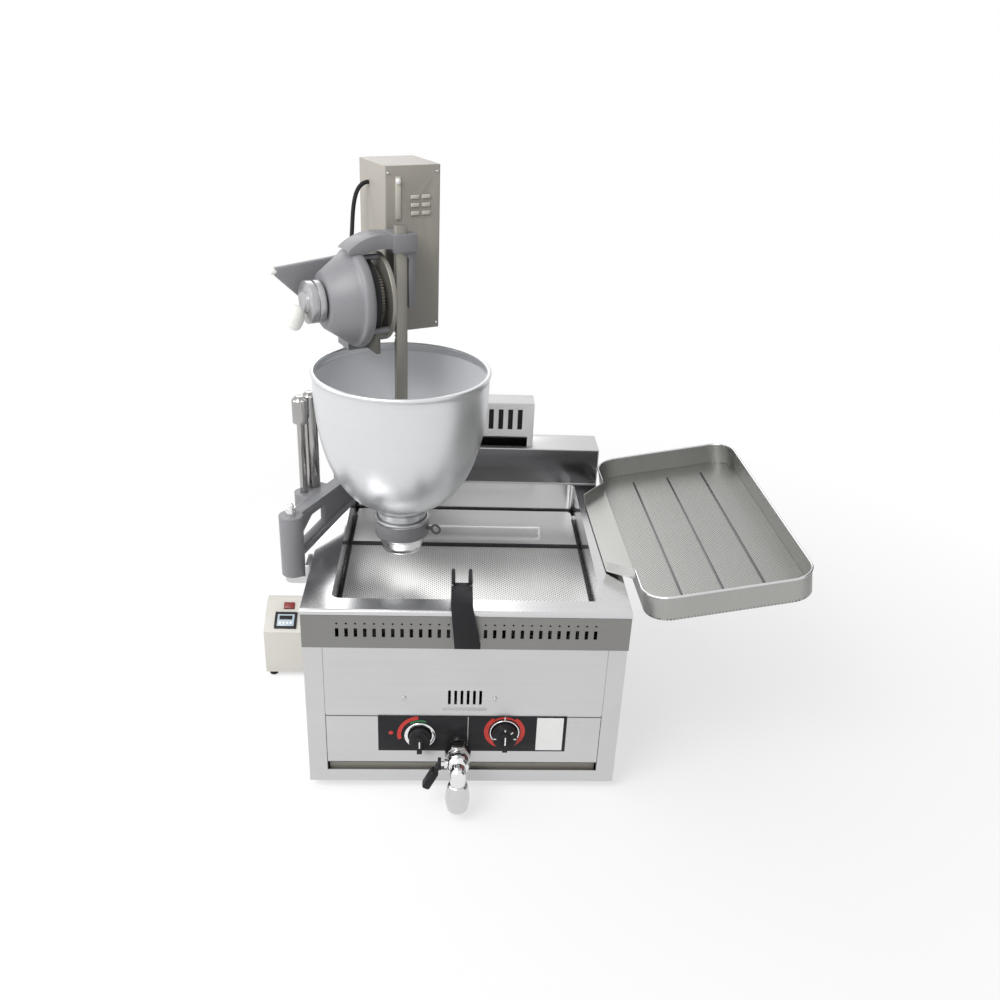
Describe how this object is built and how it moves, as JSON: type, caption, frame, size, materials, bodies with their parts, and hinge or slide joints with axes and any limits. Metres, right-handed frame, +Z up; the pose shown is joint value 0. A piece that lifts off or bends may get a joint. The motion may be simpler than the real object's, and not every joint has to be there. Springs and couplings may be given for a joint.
{
  "type": "donut fryer",
  "caption": "Table-top gas donut fryer with a swinging motor-driven dough hopper, fry screen, side drain tray and control box.",
  "frame": {"origin": "bottom centre of the whole part's box, on the counter", "axes": "+Z up, -Y towards the user at the front face, +X towards the drain tray"},
  "size_m": [1.011, 0.701, 1.069],
  "materials": {
    "stainless": "brushed sheet",
    "apron_steel": "brushed sheet, darker",
    "polished_steel": "polished",
    "white_enamel": "satin enamel",
    "black_rubber": "matte",
    "screw_steel": "plated",
    "black_plate": "satin",
    "chrome": "polished",
    "black_plastic": "satin",
    "brass": "machined",
    "gray_plastic": "matte",
    "copper_tone": "drawn",
    "cast_iron": "as cast",
    "galvanised": "galvanised",
    "wire_steel": "drawn wire",
    "gray_casting": "satin paint on a casting",
    "spun_aluminium": "spun satin",
    "beige_steel": "ground",
    "gear_steel": "cut",
    "bright_hub": "turned",
    "white_plastic": "gloss",
    "beige_paint": "fine texture paint",
    "tray_steel": "satin",
    "red_plastic": "gloss",
    "panel_plastic": "satin"
  },
  "bodies": {
    "fryer": {"left_panel": "stainless", "right_panel": "stainless", "back_panel": "stainless", "base_plate": "stainless", "front_panel": "stainless", "lower_panel": "stainless", "vent_apron": "apron_steel", "front_rim": "polished_steel", "kettle": "polished_steel", "rear_ledge": "stainless", "flue_box": "white_enamel", "feet": "black_rubber", "body_screws": "screw_steel", "control_plate": "black_plate", "knob_bezels": "chrome", "gas_valve": "brass", "thermostat": "gray_plastic", "sensing_bulb": "copper_tone", "gas_pipe": "brass", "burner": "cast_iron", "heat_shield": "galvanised", "drain_pipe": "polished_steel", "drain_valve": "chrome", "pivot_bracket": "stainless", "pivot_pin": "polished_steel", "tray_bracket": "stainless", "control_box": "beige_paint", "timer_panel": "panel_plastic"},
    "arm": {"swing_arm": "gray_casting", "pivot_bush": "brass", "lock_post": "chrome", "column": "gray_casting", "hopper_collar": "gray_casting", "hopper": "spun_aluminium", "dough_cylinder": "polished_steel", "gear_plate": "gray_casting", "crank_housing": "gray_casting", "head_bracket": "gray_casting", "motor_box": "beige_paint", "drive_motor": "cast_iron", "motor_cable": "black_rubber"},
    "lock_pin": {"lock_pin": "chrome"},
    "crank": {"crank_shaft": "polished_steel", "drive_gear": "gear_steel", "crank_hub": "bright_hub", "crank_knob": "white_plastic"},
    "plunger": {"plunger": "polished_steel", "plunger_bar": "beige_steel"},
    "motor_pinion": {"motor_pinion": "gear_steel"},
    "collar_bolt": {"collar_bolt": "screw_steel"},
    "drain_lever": {"valve_ball": "chrome", "drain_lever": "black_plastic"},
    "gas_knob": {"gas_knob": "black_plastic"},
    "thermostat_knob": {"thermostat_knob": "black_plastic"},
    "fry_screen": {"fry_screen": "wire_steel", "screen_handle": "black_plastic"},
    "rear_plate": {"rear_plate": "polished_steel"},
    "drain_tray": {"drain_tray": "tray_steel"},
    "rocker_switch": {"rocker_switch": "red_plastic"}
  },
  "joints": [
    {"name": "arm_swing", "type": "hinge", "parent": "fryer", "child": "arm", "pos_m": [-0.3995, -0.1145, 0.43], "axis": [0, 0, 1], "range_deg": [-40, 100]},
    {"name": "lock_pin_lift", "type": "slide", "parent": "arm", "child": "lock_pin", "axis": [0, 0, 1], "range_m": [0, 0.028]},
    {"name": "crank_turn", "type": "hinge", "parent": "arm", "child": "crank", "pos_m": [-0.21763, -0.03897, 0.87], "axis": [-0.8878, -0.4602, 0], "range_deg": [0, 140]},
    {"name": "plunger_lift", "type": "slide", "parent": "arm", "child": "plunger", "axis": [0, 0, 1], "range_m": [0, 0.044]},
    {"name": "motor_spin", "type": "hinge", "parent": "arm", "child": "motor_pinion", "pos_m": [-0.24524, 0.0143, 0.87], "axis": [-0.8878, -0.4602, 0], "range_deg": [-560, 0]},
    {"name": "collar_bolt_turn", "type": "hinge", "parent": "arm", "child": "collar_bolt", "pos_m": [-0.16207, -0.07686, 0.4515], "axis": [0.9272, -0.3746, 0], "continuous": true},
    {"name": "drain_lever_turn", "type": "hinge", "parent": "fryer", "child": "drain_lever", "pos_m": [-0.0975, -0.3075, 0.1], "axis": [-1, 0, 0], "range_deg": [0, 90]},
    {"name": "gas_knob_turn", "type": "hinge", "parent": "fryer", "child": "gas_knob", "pos_m": [-0.1665, -0.2595, 0.127], "axis": [0, -1, 0], "range_deg": [0, 180]},
    {"name": "thermostat_turn", "type": "hinge", "parent": "fryer", "child": "thermostat_knob", "pos_m": [-0.0145, -0.2595, 0.135], "axis": [0, -1, 0], "range_deg": [-270, 0]},
    {"name": "fry_screen_lift", "type": "slide", "parent": "fryer", "child": "fry_screen", "axis": [0, 0, 1], "range_m": [0, 0.06]},
    {"name": "rear_plate_lift", "type": "slide", "parent": "fryer", "child": "rear_plate", "axis": [0, 0, 1], "range_m": [0, 0.07]},
    {"name": "drain_tray_lift", "type": "slide", "parent": "fryer", "child": "drain_tray", "axis": [0, 0, 1], "range_m": [0, 0.3]},
    {"name": "rocker_tilt", "type": "hinge", "parent": "fryer", "child": "rocker_switch", "pos_m": [-0.4575, 0.13388, 0.14454], "axis": [1, 0, 0], "range_deg": [-10, 0]}
  ],
  "couplings": [
    {"joint": "plunger_lift", "follows": "crank_turn", "m_per_rad": 0.018},
    {"joint": "motor_spin", "follows": "crank_turn", "ratio": -4}
  ]
}
